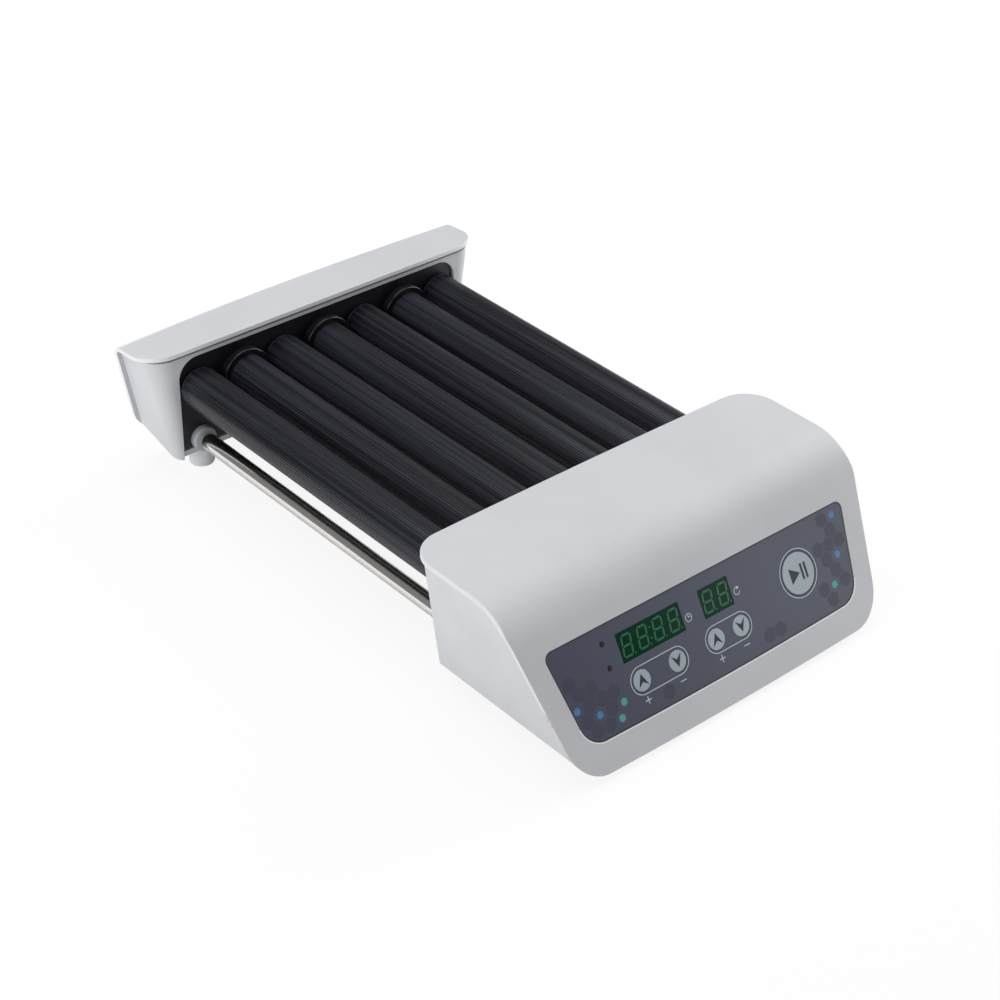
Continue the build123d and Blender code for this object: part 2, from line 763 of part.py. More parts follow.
# Tie rods and the bushes that seat them on the far plate
for side_name, side in (("left", -1), ("right", 1)):
    with BuildPart() as rod:
        add(rod_along_y(rod_dia, near_plate_y, far_plate_y, side * rod_x, rod_z))
    rod.part.label = side_name + "_rod"
    export_step(rod.part, "parts/" + rod.part.label + ".step")
    with BuildPart() as bush:
        add(rod_along_y(bush_dia, far_plate_y - bush_len, far_plate_y, side * rod_x, rod_z))
        fillet(bush.faces().sort_by(Axis.Y)[0].edges(), bush_bevel)
        add(rod_along_y(rod_dia + 2 * bush_fit, far_plate_y - bush_len, far_plate_y,
                        side * rod_x, rod_z), mode=Mode.SUBTRACT)
    bush.part.label = side_name + "_rod_bush"
    export_step(bush.part, "parts/" + bush.part.label + ".step")

# Rubber feet
for foot_name, x, y, top_z in foot_places:
    with BuildPart() as foot:
        with BuildSketch():
            with Locations((x, y)):
                Circle(foot_dia / 2)
        extrude(amount=top_z)
        if y == foot_far_y:
            add(cap_slab(0, cap_top), mode=Mode.SUBTRACT)
        fillet(foot.faces().sort_by(Axis.Z)[0].edges(), foot_bevel)
    foot.part.label = foot_name
    export_step(foot.part, "parts/" + foot_name + ".step")

# Membrane panel
panel_bed = -pocket_depth
panel_face = panel_bed + panel_t
sheet_shape = panel_shape(0)
with BuildPart() as fascia_panel:
    with BuildSketch(face_plane.offset(panel_bed)):
        add(sheet_shape)
    extrude(amount=panel_t)
    with BuildSketch(face_plane.offset(panel_bed)):
        with Locations((time_u, display_v)):
            Rectangle(time_w, display_h)
        with Locations((rpm_u, display_v)):
            Rectangle(rpm_w, display_h)
        with Locations(*[(led_u, v) for v in led_vs]):
            Circle(led_dia / 2 + led_gap)
        with Locations(*[(u, key_v) for u in small_key_us]):
            Circle(key_dia / 2 + key_gap)
        with Locations((start_u, start_v)):
            Circle(start_dia / 2 + key_gap)
    extrude(amount=panel_t, mode=Mode.SUBTRACT)
fascia_panel.part.label = "fascia_panel"
export_step(fascia_panel.part, "parts/fascia_panel.step")

# Display modules and indicator lamps, standing on the board
for display_name, u, width in (("time_display", time_u, time_w), ("rpm_display", rpm_u, rpm_w)):
    with BuildPart() as display:
        with BuildSketch(face_plane.offset(-board_depth)):
            with Locations((u, display_v)):
                Rectangle(width - 2 * display_gap, display_h - 2 * display_gap)
        extrude(amount=board_depth + panel_face - display_sink)
    display.part.label = display_name
    export_step(display.part, "parts/" + display_name + ".step")

for lamp_name, v in (("upper_lamp", led_high_v), ("lower_lamp", led_low_v)):
    with BuildPart() as lamp:
        with BuildSketch(face_plane.offset(-board_depth)):
            with Locations((led_u, v)):
                Circle(led_dia / 2)
        extrude(amount=board_depth + panel_face)
        fillet(lamp.faces().sort_by(Axis.Z)[-1].edges(), led_dia / 4)
    lamp.part.label = lamp_name
    export_step(lamp.part, "parts/" + lamp_name + ".step")

# Keys: cap through panel and cover, collar behind the cover, stem above its dome switch
stem_end = -(board_depth - dome_t - key_travel - key_slack)
for key_name, u, v, dia in key_places:
    with BuildPart() as key:
        with BuildSketch(face_plane.offset(-cover_t)):
            with Locations((u, v)):
                Circle(dia / 2)
        extrude(amount=cover_t + panel_face + key_proud)
        fillet(key.edges().sort_by(Axis.Z)[-1], key_proud)
        with BuildSketch(face_plane.offset(-cover_t - key_collar_t)):
            with Locations((u, v)):
                Circle(dia / 2 + key_collar_w)
        extrude(amount=key_collar_t)
        with BuildSketch(face_plane.offset(stem_end)):
            with Locations((u, v)):
                Circle(key_stem_dia / 2)
        extrude(amount=-stem_end - cover_t)
    key.part.label = key_name
    export_step(key.part, "parts/" + key_name + ".step")

# Control board with posts up to the cover and a dome switch under every key
with BuildPart() as control_board:
    with BuildSketch(face_plane.offset(-board_depth - board_t)):
        with Locations((0, (board_top_v + board_low_v) / 2)):
            Rectangle(2 * board_half_u, board_top_v - board_low_v)
    extrude(amount=board_t)
    with BuildSketch(face_plane.offset(-board_depth)):
        with Locations(*[(side * board_post_u, v) for side in (-1, 1)
                         for v in (board_top_v - board_post_dia, board_low_v + board_post_dia)]):
            Circle(board_post_dia / 2)
    extrude(amount=board_depth - cover_t)
    with BuildSketch(face_plane.offset(-board_depth)):
        with Locations(*[(u, v) for key_name, u, v, dia in key_places]):
            Circle(dome_dia / 2)
    extrude(amount=dome_t)
control_board.part.label = "control_board"
export_step(control_board.part, "parts/control_board.step")

# Power inlet
with BuildPart() as power_inlet:
    with BuildSketch(side_plane(inlet_y)):
        Circle(inlet_bezel_dia / 2)
    extrude(amount=inlet_bezel_t)
    with BuildSketch(side_plane(inlet_y)):
        Circle(inlet_dia / 2)
    extrude(amount=-inlet_depth)
    with BuildSketch(side_plane(inlet_y).offset(inlet_bezel_t)):
        Circle(inlet_bore_dia / 2)
        Circle(inlet_pin_dia / 2, mode=Mode.SUBTRACT)
    extrude(amount=-(inlet_depth - inlet_bezel_t), mode=Mode.SUBTRACT)
power_inlet.part.label = "power_inlet"
export_step(power_inlet.part, "parts/power_inlet.step")

# Rocker switch: housing with a well and pin, rocker on the pin
well_len = rocker_len + 2 * rocker_end_gap
well_w = rocker_w + 2 * rocker_gap
wall_face = side_plane(switch_y)
rocker_plane = Plane(origin=wall_face.origin, x_dir=(0, -1, 0), z_dir=wall_face.x_dir)
with BuildPart() as switch_housing:
    with BuildSketch(side_plane(switch_y)):
        Rectangle(switch_w, switch_len)
    extrude(amount=switch_bezel_t)
    with BuildSketch(side_plane(switch_y)):
        Rectangle(switch_body_w, switch_body_len)
    extrude(amount=-switch_depth)
    with BuildSketch(side_plane(switch_y).offset(switch_bezel_t)):
        Rectangle(well_w, well_len)
    extrude(amount=-(switch_depth - switch_bezel_t), mode=Mode.SUBTRACT)
    with BuildSketch(rocker_plane):
        with Locations((0, -rocker_sink)):
            Circle(rocker_pin_dia / 2)
    extrude(amount=well_w / 2 + rocker_gap, both=True)
switch_housing.part.label = "switch_housing"
export_step(switch_housing.part, "parts/switch_housing.step")

with BuildPart() as switch_rocker:
    with BuildSketch(rocker_plane):
        with BuildLine():
            half = rocker_len / 2
            face_n = switch_bezel_t + rocker_tip
            Polyline(
                (-half, -rocker_sink - rocker_pin_dia),
                (-half, face_n + rocker_rise),
                (0, face_n),
                (half, face_n + rocker_rise),
                (half, -rocker_sink - rocker_pin_dia),
                close=True,
            )
        make_face()
        with Locations((0, -rocker_sink)):
            Circle(rocker_pin_dia / 2 + rocker_pin_fit, mode=Mode.SUBTRACT)
    extrude(amount=rocker_w / 2, both=True)
rocker_axis = Axis(
    rocker_plane.from_local_coords((0, -rocker_sink, 0)), rocker_plane.z_dir
)
rocker_off = switch_rocker.part.rotate(rocker_axis, -rocker_tilt)
rocker_off.label = "switch_rocker"
export_step(rocker_off, "parts/switch_rocker.step")
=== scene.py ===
import json
import math

import bpy
from mathutils import Matrix, Vector
from mathutils.geometry import convex_hull_2d


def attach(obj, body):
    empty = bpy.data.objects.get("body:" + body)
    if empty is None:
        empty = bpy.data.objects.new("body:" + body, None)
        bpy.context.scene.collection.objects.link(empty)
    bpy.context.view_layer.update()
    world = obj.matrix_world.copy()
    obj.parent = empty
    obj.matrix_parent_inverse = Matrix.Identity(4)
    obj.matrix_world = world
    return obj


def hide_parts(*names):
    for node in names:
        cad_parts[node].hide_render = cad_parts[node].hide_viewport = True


# The frame: every length below is in metres, MM turns millimetres into metres
MM = 0.001
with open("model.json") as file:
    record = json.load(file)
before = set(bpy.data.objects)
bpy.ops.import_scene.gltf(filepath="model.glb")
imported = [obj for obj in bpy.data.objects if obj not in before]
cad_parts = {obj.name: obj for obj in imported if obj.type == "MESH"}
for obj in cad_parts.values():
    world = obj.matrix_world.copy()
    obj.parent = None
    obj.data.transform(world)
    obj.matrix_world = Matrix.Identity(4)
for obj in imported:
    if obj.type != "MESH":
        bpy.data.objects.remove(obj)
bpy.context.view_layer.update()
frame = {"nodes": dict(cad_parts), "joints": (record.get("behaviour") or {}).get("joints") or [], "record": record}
nodes = frame["nodes"]

# Camera, fitted to the straight edges of the photograph
CAMERA_PLACE = Vector((-0.80301, -0.91823, 0.85686))
CAMERA_AZIMUTH = -41.4211
CAMERA_ELEVATION = 34.1693
CAMERA_ROLL = -1.2270
CAMERA_LENS = 79.67
SENSOR = 36.0

# Printed marks, and the strips of painted shade and highlight, stand this far off the surface that carries them
MARK_RISE = 0.05 * MM
TILE_RISE = 0.02 * MM
MARK_SUNK = 0.01 * MM
ARC_STEPS = 28

# Membrane panel print, measured from the middle of the piece it belongs to
KEY_GLYPH_HALF = 4.0 * MM
KEY_GLYPH_TALL = 8.0 * MM
KEY_GLYPH_NOTCH = 3.0 * MM
LOOP_RADIUS = 8.6 * MM
LOOP_LINE = 0.55 * MM
LOOP_GAP = 0.75 * MM
START_RING_RADIUS = 15.5 * MM
SIGN_DROP = 12.6 * MM
SIGN_HALF = 2.4 * MM
SIGN_STROKE = 0.6 * MM
START_MARK_HALF = 5.2 * MM
PLAY_BACK = 7.2 * MM
PLAY_TIP = 1.0 * MM
PAUSE_STARTS = (2.3 * MM, 5.5 * MM)
PAUSE_WIDE = 1.7 * MM
START_SHADE_IN = 1.2 * MM
START_SHADE_LINE = 1.5 * MM

# Clock and turning arrow beside the displays
CLOCK_GAP = 4.7 * MM
CLOCK_DROP = 3.0 * MM
CLOCK_RADIUS = 2.4 * MM
CLOCK_LINE = 0.5 * MM
CLOCK_HAND_HALF = 0.25 * MM
CLOCK_HAND_UP = 1.7 * MM
CLOCK_HAND_ACROSS = 1.5 * MM
TURN_GAP = 4.6 * MM
TURN_RISE = 0.3 * MM
TURN_RADIUS = 2.25 * MM
TURN_LINE = 0.5 * MM
TURN_START = 60
TURN_END = 350
TURN_HEAD = [(0.2 * MM, 3.2 * MM), (0.2 * MM, 0.8 * MM), (2.5 * MM, 2.0 * MM)]

# Far cover sheet
COVER_HALF = 145.0 * MM
COVER_EDGE_Y = 184.6 * MM
COVER_TOP = 101.6 * MM
COVER_DEEP = 48.0 * MM
COVER_FALL = 3.5 * MM
COVER_BOW = 4.6 * MM
COVER_INNER_R = 23.0 * MM
COVER_BEND_R = 9.0 * MM
COVER_LOW_R = 14.0 * MM
COVER_LOW_TURN = math.radians(82)
COVER_LEAN = 0.19
COVER_THICK = 3.0 * MM
COVER_RIM_R = 1.35 * MM
COVER_RIM_STEPS = 4
COVER_RIM_ANGLE = math.radians(50)
COVER_ROOF_GAP = 0.2 * MM
COVER_ROOF_LONG = COVER_DEEP - COVER_BEND_R - COVER_ROOF_GAP
COVER_WALL_TALL = 64.5 * MM
COVER_COLUMNS = 64
COVER_ARC_STEPS = 10
COVER_FLAT_STEPS = 4
COVER_WALL_STEPS = 6

# Painted shadow: mid-grey strips on the body just below the far cover sheet, standing in for the shade that the
# sheet's overhang casts on the body below it
SHADOW_STRIP_HALF = 140.2 * MM
SHADOW_STRIP_FRONT_Y = 185.2 * MM
SHADOW_STRIP_CORNER_R = 16.0 * MM
SHADOW_STRIP_BACK_Y = 225.0 * MM
SHADOW_STRIP_TALL = 1.6 * MM
SHADOW_STRIP_WIDE = 0.9 * MM

# Seven-segment digits
DIGIT_PITCH = 12.7 * MM
DIGIT_TALL = 14.2 * MM
DIGIT_WIDE = 8.2 * MM
DIGIT_STROKE = 1.3 * MM
DIGIT_SLANT = math.radians(7.0)
SEGMENT_GAP = 0.28 * MM
POINT_RADIUS = 0.62 * MM
POINT_STEPS = 14
POINT_GAP = 1.7
COLON_RISE = 0.23

# Honeycomb tiles on the panel: circle radius of a tile and of a coloured one, grid step
TILE_RADIUS = 5.2 * MM
BRIGHT_RADIUS = 2.6 * MM
TILE_STEP = 9.6 * MM
TILE_ROW_STEP = TILE_STEP * math.cos(math.radians(30))
TILE_FIRST_ROW = 0.75
TILE_CELLS = [
    (-12, 2), (-12, 3), (-11, 3), (-11, 4), (-10, 4), (-9, 4), (-12, 5), (-10, 5), (-11, 6),
    (-10, 6), (-5, 6), (4, 6), (5, 6), (11, 0), (11, 1), (10, 2), (11, 2), (12, 2), (10, 3),
    (11, 4), (11, 5), (9, 5), (10, 6),
]
BLUE_CELLS = [(-12, 4), (-11, 5), (12, 0), (11, 3)]
TEAL_CELLS = [(-9, 5), (-9, 6), (10, 5)]

# Studio: floor, world and the point that the big lights face
WHITE = (1.0, 1.0, 1.0, 1.0)
FLOOR_SIZE = 12.0
FLOOR_ROUGH = 0.9
FLOOR_GLOW = 0.88
WORLD_STRENGTH = 0.2
LIGHT_AIM = (0.0, 0.0, 0.05)

# Material grain: noise scales are per metre, spreads and drifts are shares
ROUGH_SPREAD = 0.05
PLAIN_GLOSS = 0.5
CLOUD_SCALE = 14.0
CLOUD_RANGE = (0.3, 0.7)
PLASTIC_DRIFT = 0.04
PLASTIC_GRAIN_DEEP = 0.02 * MM
PAINT_DARK = 0.975
PAINT_LIGHT = 1.02
PAINT_GRAIN = 0.3
PAINT_GRAIN_SCALE = 1100.0
PAINT_GRAIN_DEEP = 0.03 * MM
DUST_SCALE = 480.0
SPECK_SCALE = 260.0
CHIP_SCALE = 230.0
CHIP_FADE = 6.0 * MM
CHIP_TOP = 50.0 * MM
METAL_LINE_SCALE = 900.0
METAL_LINE_DEEP = 0.01 * MM
METAL_STAIN_SCALE = 60.0
METAL_STAIN_SHADE = 0.86
STREAK_SCALE = 620.0
STREAK_STRETCH = (1.0, 0.006, 1.0)
# The darker and lighter streak colours on the rollers are painted shade and painted glints
STREAK_PAINTED_SHADE = 0.35
STREAK_PAINTED_GLINT = 1.6
STREAK_DEEP = 0.3 * MM
INK_GRAIN_SCALE = 2600.0
INK_DRIFT = 0.04

# Painted shade in the gap round the panel, and a painted highlight along the pocket's lower edge
GAP_SHADE_WIDE = 0.5 * MM
POCKET_HIGHLIGHT_WIDE = 0.7 * MM
POCKET_HIGHLIGHT_GAP = 0.3 * MM


def srgb(red, green, blue):
    """Linear colour from 0 to 255 display values."""
    out = []
    for value in (red, green, blue):
        share = value / 255
        out.append(share / 12.92 if share <= 0.04045 else ((share + 0.055) / 1.055) ** 2.4)
    return (*out, 1.0)


# Materials


class Shader:
    """A small helper around one node material."""

    def __init__(self, name):
        self.material = bpy.data.materials.new(name)
        self.material.use_nodes = True
        self.tree = self.material.node_tree
        self.main = self.tree.nodes["Principled BSDF"]
        spot = self.node("ShaderNodeTexCoord")
        self.place = spot.outputs["Object"]
        self.normal = spot.outputs["Normal"]

    def node(self, kind, **values):
        made = self.tree.nodes.new(kind)
        for name, value in values.items():
            setattr(made, name, value)
        return made

    def link(self, source, target):
        self.tree.links.new(source, target)

    def noise(self, scale, detail=3.0, rough=0.55, stretch=None):
        made = self.node("ShaderNodeTexNoise")
        made.inputs["Scale"].default_value = scale
        made.inputs["Detail"].default_value = detail
        made.inputs["Roughness"].default_value = rough
        place = self.place
        if stretch:
            mapping = self.node("ShaderNodeMapping")
            mapping.inputs["Scale"].default_value = stretch
            self.link(place, mapping.inputs["Vector"])
            place = mapping.outputs["Vector"]
        self.link(place, made.inputs["Vector"])
        return made.outputs["Fac"]

    def ramp(self, source, low, high, out_low, out_high):
        """Soft step from out_low to out_high while the source goes from low to high."""
        made = self.node("ShaderNodeMapRange", interpolation_type="SMOOTHSTEP")
        made.inputs["From Min"].default_value = low
        made.inputs["From Max"].default_value = high
        made.inputs["To Min"].default_value = out_low
        made.inputs["To Max"].default_value = out_high
        self.link(source, made.inputs["Value"])
        return made.outputs["Result"]

    def math(self, operation, first, second):
        made = self.node("ShaderNodeMath", operation=operation)
        for socket, value in zip(made.inputs, (first, second)):
            if isinstance(value, (int, float)):
                socket.default_value = value
            else:
                self.link(value, socket)
        return made.outputs["Value"]

    def mix(self, factor, first, second):
        made = self.node("ShaderNodeMix", data_type="RGBA")
        self.link(factor, made.inputs["Factor"])
        for socket, value in ((made.inputs["A"], first), (made.inputs["B"], second)):
            if isinstance(value, tuple):
                socket.default_value = value
            else:
                self.link(value, socket)
        return made.outputs["Result"]

    def axis(self, letter):
        made = self.node("ShaderNodeSeparateXYZ")
        self.link(self.place, made.inputs["Vector"])
        return made.outputs[letter]

    def bump(self, height, strength, distance):
        made = self.node("ShaderNodeBump")
        made.inputs["Strength"].default_value = strength
        made.inputs["Distance"].default_value = distance
        self.link(height, made.inputs["Height"])
        self.link(made.outputs["Normal"], self.main.inputs["Normal"])

    def colour(self, value):
        if isinstance(value, tuple):
            self.main.inputs["Base Color"].default_value = value
        else:
            self.link(value, self.main.inputs["Base Color"])

    def rough(self, value):
        if isinstance(value, (int, float)):
            self.main.inputs["Roughness"].default_value = value
        else:
            self.link(value, self.main.inputs["Roughness"])


def tinted(colour, factor):
    """The colour made lighter or darker by a factor."""
    return tuple(min(1.0, part * factor) for part in colour[:3]) + (1.0,)


def grained(shader, rough, scale, strength, distance):
    """Fine grain in gloss and bump."""
    fine = shader.noise(scale, detail=2.0)
    shader.rough(shader.ramp(fine, 0.25, 0.75, rough - ROUGH_SPREAD, rough + ROUGH_SPREAD))
    shader.bump(fine, strength, distance)


def moulded(name, colour, rough, grain_scale=1400.0, grain=0.25, dust=None, gloss=PLAIN_GLOSS):
    """Moulded plastic: slight colour drift, fine grain in bump and gloss, specks of dust."""
    shader = Shader(name)
    shader.main.inputs["Specular IOR Level"].default_value = gloss
    cloud = shader.ramp(shader.noise(CLOUD_SCALE), *CLOUD_RANGE, 0.0, 1.0)
    paint = shader.mix(cloud, tinted(colour, 1 - PLASTIC_DRIFT), tinted(colour, 1 + PLASTIC_DRIFT))
    if dust:
        specks = shader.ramp(shader.noise(DUST_SCALE, detail=1.0), 0.79, 0.83, 0.0, 0.5)
        paint = shader.mix(specks, paint, dust)
    shader.colour(paint)
    grained(shader, rough, grain_scale, grain, PLASTIC_GRAIN_DEEP)
    return shader.material


def metal(name, colour, rough, stretch, wear=0.12):
    """Drawn or turned metal, lined along the axis whose stretch is small; wear is their strength."""
    shader = Shader(name)
    shader.main.inputs["Metallic"].default_value = 1.0
    lines = shader.noise(METAL_LINE_SCALE, detail=4.0, stretch=stretch)
    stain = shader.ramp(shader.noise(METAL_STAIN_SCALE, stretch=stretch), 0.35, 0.75, 0.0, 1.0)
    shader.colour(shader.mix(stain, colour, tinted(colour, METAL_STAIN_SHADE)))
    shader.rough(shader.ramp(lines, 0.3, 0.7, rough - ROUGH_SPREAD, rough + wear))
    shader.bump(lines, wear, METAL_LINE_DEEP)
    return shader.material


def ribbed(name, colour, rough):
    """Ribbed black tube: long fine streaks in height, and light and dark streaks in colour that paint glints and
    shade along the ribs, a few specks of dust.
    """
    shader = Shader(name)
    lines = shader.noise(STREAK_SCALE, detail=2.0, stretch=STREAK_STRETCH)
    glint_streaks = shader.ramp(lines, 0.36, 0.62, 0.0, 1.0)
    # Painted glints and shade: darker and lighter copies of the colour along the streaks
    paint = shader.mix(glint_streaks, tinted(colour, STREAK_PAINTED_SHADE), tinted(colour, STREAK_PAINTED_GLINT))
    specks = shader.ramp(shader.noise(DUST_SCALE, detail=1.0), 0.81, 0.84, 0.0, 0.4)
    shader.colour(shader.mix(specks, paint, DUST))
    shader.rough(rough)
    shader.bump(lines, 0.25, STREAK_DEEP)
    return shader.material


def ink_or_painted_light(name, colour, rough=0.4):
    """Printed ink on film, and flat strips of painted shade and highlight: almost even, with a faint grain."""
    shader = Shader(name)
    fine = shader.noise(INK_GRAIN_SCALE, detail=1.0)
    shader.colour(shader.mix(fine, tinted(colour, 1 - INK_DRIFT), tinted(colour, 1 + INK_DRIFT)))
    shader.rough(rough)
    return shader.material


def worn_paint(name, colour, rough, rim_highlight_back_share=1.0, out=None, edge_top=0.0):
    """Painted cover: fine grain, a few specks, a painted highlight that turns it paler where it faces sideways or
    backwards, as on its rims, and chips along its lower rim.
    """
    shader = Shader(name)
    cloud = shader.ramp(shader.noise(CLOUD_SCALE), *CLOUD_RANGE, 0.0, 1.0)
    paint = shader.mix(cloud, tinted(colour, PAINT_DARK), tinted(colour, PAINT_LIGHT))
    specks = shader.ramp(shader.noise(SPECK_SCALE, detail=2.0), 0.735, 0.77, 0.0, 0.4)
    paint = shader.mix(specks, paint, SPECK)
    # Painted highlight: the colour turns paler where the surface faces sideways, and backwards by the given share,
    # as on the rims and side faces
    sideways = shader.node("ShaderNodeSeparateXYZ")
    shader.link(shader.normal, sideways.inputs["Vector"])
    rim_highlight_side = shader.math("ABSOLUTE", sideways.outputs["X"], 0.0)
    rim_highlight_back = shader.math("MULTIPLY", sideways.outputs["Y"], rim_highlight_back_share)
    rim_highlight_mask = shader.ramp(shader.math("MAXIMUM", rim_highlight_side, rim_highlight_back), 0.45, 0.85, 0.0, 1.0)
    paint = shader.mix(rim_highlight_mask, paint, RIM_HIGHLIGHT)
    if out:
        facing = shader.node("ShaderNodeVectorMath", operation="DOT_PRODUCT")
        shader.link(shader.normal, facing.inputs[0])
        facing.inputs[1].default_value = out
        rim = shader.ramp(facing.outputs["Value"], 0.25, 0.97, 1.0, 0.0)
        low = shader.ramp(shader.axis("Z"), edge_top - CHIP_FADE, edge_top, 1.0, 0.0)
        chips = shader.ramp(shader.noise(CHIP_SCALE, detail=4.0, rough=0.7), 0.58, 0.64, 0.25, 0.75)
        mask = shader.math("MULTIPLY", shader.math("MULTIPLY", rim, low), chips)
        paint = shader.mix(mask, paint, CHIP)
    shader.colour(paint)
    grained(shader, rough, PAINT_GRAIN_SCALE, PAINT_GRAIN, PAINT_GRAIN_DEEP)
    return shader.material


press = next(joint for joint in frame["joints"] if joint["name"] == "key_start_press")
FACE_OUT = -Vector(press["axis"]).normalized()

# Paler colour of the painted highlight on the covers' rims and side faces
RIM_HIGHLIGHT = srgb(220, 220, 222)
CHIP = srgb(150, 132, 112)
SPECK = srgb(176, 164, 142)
DUST = srgb(150, 150, 152)
COVER = srgb(203, 204, 208)
FILM = srgb(72, 76, 94)
cover_paint = worn_paint("cover_paint", COVER, 0.4, 1.0, tuple(FACE_OUT), CHIP_TOP)
far_paint = worn_paint("far_paint", COVER, 0.4, 0.0)
# The far cover sheet's rim faces take a colour lighter than the cover: a painted highlight along its rolled rim
rim_highlight_paint = moulded("rim_highlight_paint", srgb(232, 232, 234), 0.3, grain_scale=PAINT_GRAIN_SCALE)
body_plastic = moulded("body_plastic", srgb(204, 206, 210), 0.5)
base_plastic = moulded("base_plastic", srgb(150, 152, 156), 0.6)
plate_plastic = moulded("plate_plastic", srgb(20, 20, 27), 0.45, grain=0.1, dust=DUST)
roller_plastic = ribbed("roller_plastic", srgb(33, 34, 42), 0.28)
stop_rubber = moulded("stop_rubber", srgb(12, 12, 15), 0.35, grain=0.1)
belt_rubber = moulded("belt_rubber", srgb(26, 26, 27), 0.65)
drum_plastic = moulded("drum_plastic", srgb(222, 221, 214), 0.5)
foot_rubber = moulded("foot_rubber", srgb(226, 227, 229), 0.6)
bush_plastic = moulded("bush_plastic", srgb(170, 173, 180), 0.42)
film_print = moulded("film_print", FILM, 0.33, grain_scale=2200.0, grain=0.12)
display_window = moulded("display_window", srgb(0, 50, 34), 0.2, grain_scale=400.0, grain=0.03,
                         gloss=0.12)
lamp_lens = moulded("lamp_lens", srgb(44, 24, 26), 0.2, grain=0.05)
key_film = moulded("key_film", srgb(164, 176, 185), 0.32, grain_scale=2200.0, grain=0.1)
board_mask = moulded("board_mask", srgb(30, 92, 54), 0.4)
black_plastic = moulded("black_plastic", srgb(26, 26, 28), 0.4)
steel_turned = metal("steel_turned", srgb(150, 150, 152), 0.35, (1.0, 0.04, 1.0))
steel_rod = metal("steel_rod", srgb(242, 239, 235), 0.17, (1.0, 0.005, 1.0), 0.03)
steel_sheet = metal("steel_sheet", srgb(168, 170, 174), 0.4, (0.1, 1.0, 1.0))
line_ink = ink_or_painted_light("line_ink", srgb(196, 204, 210))
dark_ink = ink_or_painted_light("dark_ink", srgb(30, 34, 46))
segment_ink = ink_or_painted_light("segment_ink", srgb(4, 98, 58), 0.3)
tile_ink = ink_or_painted_light("tile_ink", srgb(60, 62, 81))
# Near-white painted highlight on the pocket's lower edge
pocket_highlight_paint = ink_or_painted_light("pocket_highlight_paint", srgb(252, 252, 253), 0.35)
# Dark painted shade in the gap round the panel
gap_shade_paint = ink_or_painted_light("gap_shade_paint", srgb(34, 34, 40))
# Mid-grey painted shadow for the strips under the far cover sheet's overhang
painted_shadow_grey = ink_or_painted_light("painted_shadow_grey", srgb(118, 120, 126), 0.6)
blue_ink = ink_or_painted_light("blue_ink", srgb(74, 122, 178))
teal_ink = ink_or_painted_light("teal_ink", srgb(84, 158, 152))

FINISHES = {
    "cover_grey": cover_paint,
    "body_grey": body_plastic,
    "base_grey": base_plastic,
    "plate_black": plate_plastic,
    "roller_black": roller_plastic,
    "axle_steel": steel_turned,
    "stop_black": stop_rubber,
    "belt_rubber": belt_rubber,
    "drum_plastic": drum_plastic,
    "motor_metal": steel_turned,
    "bracket_metal": steel_sheet,
    "rod_steel": steel_rod,
    "bush_grey": bush_plastic,
    "foot_rubber": foot_rubber,
    "fascia_film": film_print,
    "display_green": display_window,
    "lamp_dark": lamp_lens,
    "key_pale": key_film,
    "board_green": board_mask,
    "inlet_black": black_plastic,
    "switch_black": black_plastic,
    "rocker_black": black_plastic,
}
for entry in frame["record"]["subparts"]:
    mesh = nodes[entry["node"]].data
    mesh.materials.clear()
    mesh.materials.append(FINISHES[entry["material_slot"]])


# The sloping face: u across, v up the slope, w out of it
FACE_ACROSS = Vector((1.0, 0.0, 0.0))
FACE_UP = FACE_OUT.cross(FACE_ACROSS)


def on_face(u, v, w):
    """Point of the row frame from face coordinates."""
    return FACE_ACROSS * u + FACE_UP * v + FACE_OUT * w


def face_box(name):
    """(lowest, highest) u, v and w of a CAD node."""
    spots = [vertex.co for vertex in nodes[name].data.vertices]
    low, high = [], []
    for direction in (FACE_ACROSS, FACE_UP, FACE_OUT):
        reach = [spot.dot(direction) for spot in spots]
        low.append(min(reach))
        high.append(max(reach))
    return Vector(low), Vector(high)


def middle(name):
    """(u, v, top w) of a CAD node on the face."""
    low, high = face_box(name)
    return (low.x + high.x) / 2, (low.y + high.y) / 2, high.z


def arc(cx, cy, radius, start, end, steps=ARC_STEPS):
    """Points on an arc, angles in degrees, both ends included."""
    return [
        (
            cx + radius * math.cos(math.radians(start + (end - start) * i / steps)),
            cy + radius * math.sin(math.radians(start + (end - start) * i / steps)),
        )
        for i in range(steps + 1)
    ]


def band(outer, inner, closed=True):
    """Quads between two lines of points of equal length."""
    count = len(outer)
    last = count if closed else count - 1
    return [
        [outer[i], outer[(i + 1) % count], inner[(i + 1) % count], inner[i]] for i in range(last)
    ]


def ring(cx, cy, radius, line):
    """Ring of a given line width around a centre."""
    outer = arc(cx, cy, radius + line / 2, 0, 360)[:-1]
    inner = arc(cx, cy, radius - line / 2, 0, 360)[:-1]
    return band(outer, inner)


def stadium(left, right, cy, radius):
    """Closed outline of two half circles joined by straight lines."""
    return arc(left, cy, radius, 90, 270) + arc(right, cy, radius, -90, 90)


def bar(x0, y0, x1, y1):
    """Rectangle between two corners."""
    return [(x0, y0), (x1, y0), (x1, y1), (x0, y1)]


